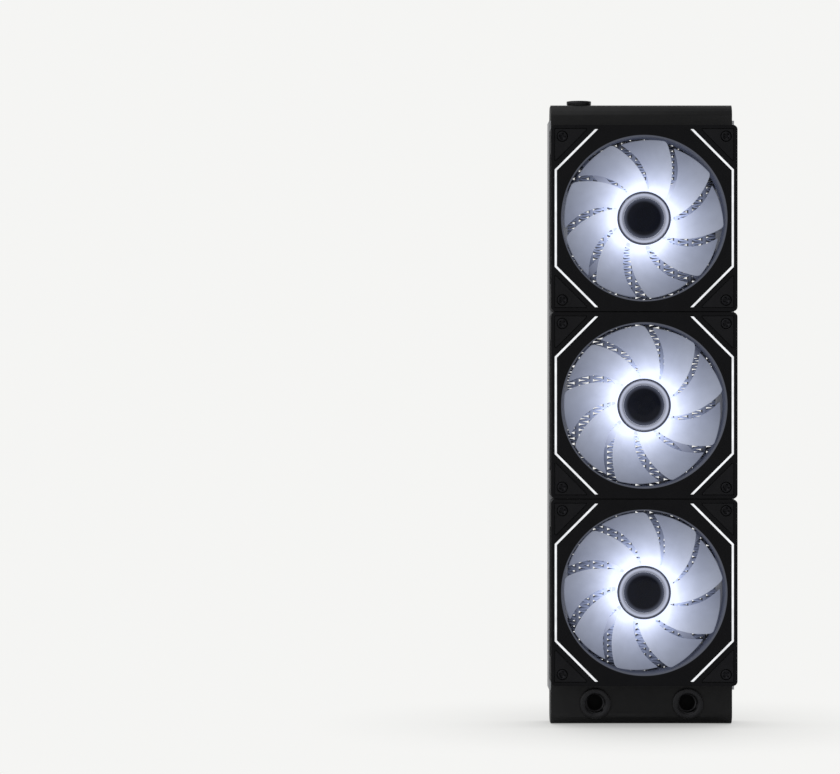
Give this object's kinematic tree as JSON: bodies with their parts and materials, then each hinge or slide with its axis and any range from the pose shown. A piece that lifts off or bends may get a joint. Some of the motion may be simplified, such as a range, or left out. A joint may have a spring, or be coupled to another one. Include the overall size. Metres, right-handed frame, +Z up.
{
  "type": "liquid cooling radiator",
  "caption": "Long flat liquid cooling radiator: finned core between end tanks, threaded hose ports, and a column of lit axial fans with frosted blades bolted to its front.",
  "frame": {"origin": "middle of the radiator's back face, level with the middle fan, at the centre of the middle case mount's holes", "axes": "+Z up the radiator towards the return tank, +Y out of the back face towards the case, -Y the side that the fans face, +X to the right seen from the fans"},
  "size_m": [0.12, 0.052, 0.405],
  "materials": {
    "frame_plastic": "fine moulded texture, matte black",
    "light_guide": "milky light guide, lit white",
    "blade_plastic": "frosted translucent white",
    "hub_ring_plastic": "satin silver",
    "hub_mirror": "dark mirror",
    "yoke_steel": "pressed steel",
    "magnet": "bonded ferrite",
    "shaft_steel": "ground",
    "clip_nylon": "satin",
    "bearing_bronze": "sintered",
    "lamination_steel": "stamped stack",
    "copper_wire": "enamelled wire",
    "circuit_board": "solder mask",
    "pad_rubber": "satin",
    "led_strip": "lit white",
    "insulator_plastic": "satin",
    "blank_label": "plain brushed foil",
    "black_screw": "black oxide",
    "socket_plastic": "moulded",
    "pin_gold": "gold plated",
    "fin_aluminium": "thin black paint on louvred foil",
    "tube_aluminium": "thin black paint",
    "radiator_paint": "fine textured black powder coat",
    "bare_aluminium": "mill finish",
    "port_metal": "satin black plating",
    "seal_rubber": "matte"
  },
  "bodies": {
    "radiator": {"upper_fan_frame": "frame_plastic", "upper_fan_light_guides": "light_guide", "upper_fan_bearing_sleeve": "bearing_bronze", "upper_fan_stator_core": "lamination_steel", "upper_fan_windings": "copper_wire", "upper_fan_driver_board": "circuit_board", "middle_fan_frame": "frame_plastic", "middle_fan_light_guides": "light_guide", "middle_fan_bearing_sleeve": "bearing_bronze", "middle_fan_stator_core": "lamination_steel", "middle_fan_windings": "copper_wire", "middle_fan_driver_board": "circuit_board", "lower_fan_frame": "frame_plastic", "lower_fan_light_guides": "light_guide", "lower_fan_bearing_sleeve": "bearing_bronze", "lower_fan_stator_core": "lamination_steel", "lower_fan_windings": "copper_wire", "lower_fan_driver_board": "circuit_board", "corner_pads": "pad_rubber", "led_strips": "led_strip", "stator_insulators": "insulator_plastic", "motor_labels": "blank_label", "fan_screws": "black_screw", "power_sockets": "socket_plastic", "socket_pins": "pin_gold", "cooling_fins": "fin_aluminium", "flat_tubes": "tube_aluminium", "top_header": "radiator_paint", "bottom_header": "radiator_paint", "top_tank": "radiator_paint", "bottom_tank": "radiator_paint", "tank_divider": "bare_aluminium", "left_rail": "bare_aluminium", "right_rail": "bare_aluminium", "inlet_port": "port_metal", "outlet_port": "port_metal", "bleed_plug": "port_metal", "bleed_seal": "seal_rubber"},
    "upper_fan_rotor": {"upper_fan_impeller": "blade_plastic", "upper_fan_hub_ring": "hub_ring_plastic", "upper_fan_hub_mirror": "hub_mirror", "upper_fan_rotor_yoke": "yoke_steel", "upper_fan_magnet_ring": "magnet", "upper_fan_shaft": "shaft_steel", "upper_fan_shaft_clip": "clip_nylon"},
    "middle_fan_rotor": {"middle_fan_impeller": "blade_plastic", "middle_fan_hub_ring": "hub_ring_plastic", "middle_fan_hub_mirror": "hub_mirror", "middle_fan_rotor_yoke": "yoke_steel", "middle_fan_magnet_ring": "magnet", "middle_fan_shaft": "shaft_steel", "middle_fan_shaft_clip": "clip_nylon"},
    "lower_fan_rotor": {"lower_fan_impeller": "blade_plastic", "lower_fan_hub_ring": "hub_ring_plastic", "lower_fan_hub_mirror": "hub_mirror", "lower_fan_rotor_yoke": "yoke_steel", "lower_fan_magnet_ring": "magnet", "lower_fan_shaft": "shaft_steel", "lower_fan_shaft_clip": "clip_nylon"}
  },
  "joints": [
    {"name": "upper_fan_spin", "type": "hinge", "parent": "radiator", "child": "upper_fan_rotor", "pos_m": [0, -0.0395, 0.12], "axis": [0, -1, 0], "continuous": true},
    {"name": "middle_fan_spin", "type": "hinge", "parent": "radiator", "child": "middle_fan_rotor", "pos_m": [0, -0.0395, 0], "axis": [0, -1, 0], "continuous": true},
    {"name": "lower_fan_spin", "type": "hinge", "parent": "radiator", "child": "lower_fan_rotor", "pos_m": [0, -0.0395, -0.12], "axis": [0, -1, 0], "continuous": true}
  ]
}
